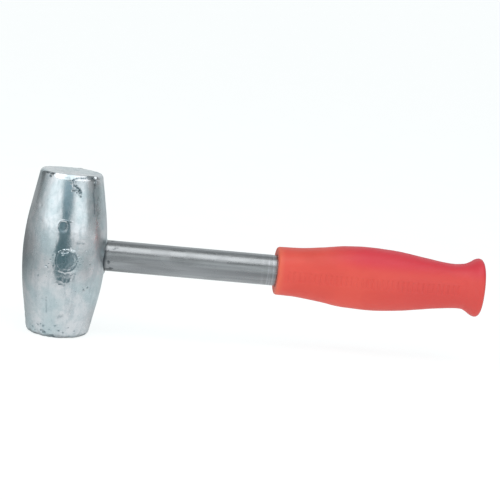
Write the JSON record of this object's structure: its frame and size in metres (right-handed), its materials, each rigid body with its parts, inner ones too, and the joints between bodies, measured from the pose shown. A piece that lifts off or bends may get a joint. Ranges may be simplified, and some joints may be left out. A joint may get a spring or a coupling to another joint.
{
  "type": "soft-face hammer",
  "caption": "Barrel-shaped cast soft-metal hammer head on a plain steel tube handle with a flared orange-red vinyl grip.",
  "frame": {"origin": "centre of the head's lower striking face", "axes": "+Z along the head from the lower striking face to the upper one, +X along the handle from the head to the butt of the grip, -Y towards the side of the head with the gate scar"},
  "size_m": [0.3019, 0.0535, 0.1061],
  "materials": {
    "cast_metal": "satin",
    "tube_steel": "satin",
    "pin_steel": "satin",
    "plug_steel": "matte",
    "grip_vinyl": "satin"
  },
  "bodies": {
    "root": {"head_casting": "cast_metal", "handle_tube": "tube_steel", "anchor_pin": "pin_steel", "dam_plug": "plug_steel", "grip": "grip_vinyl"}
  },
  "joints": []
}
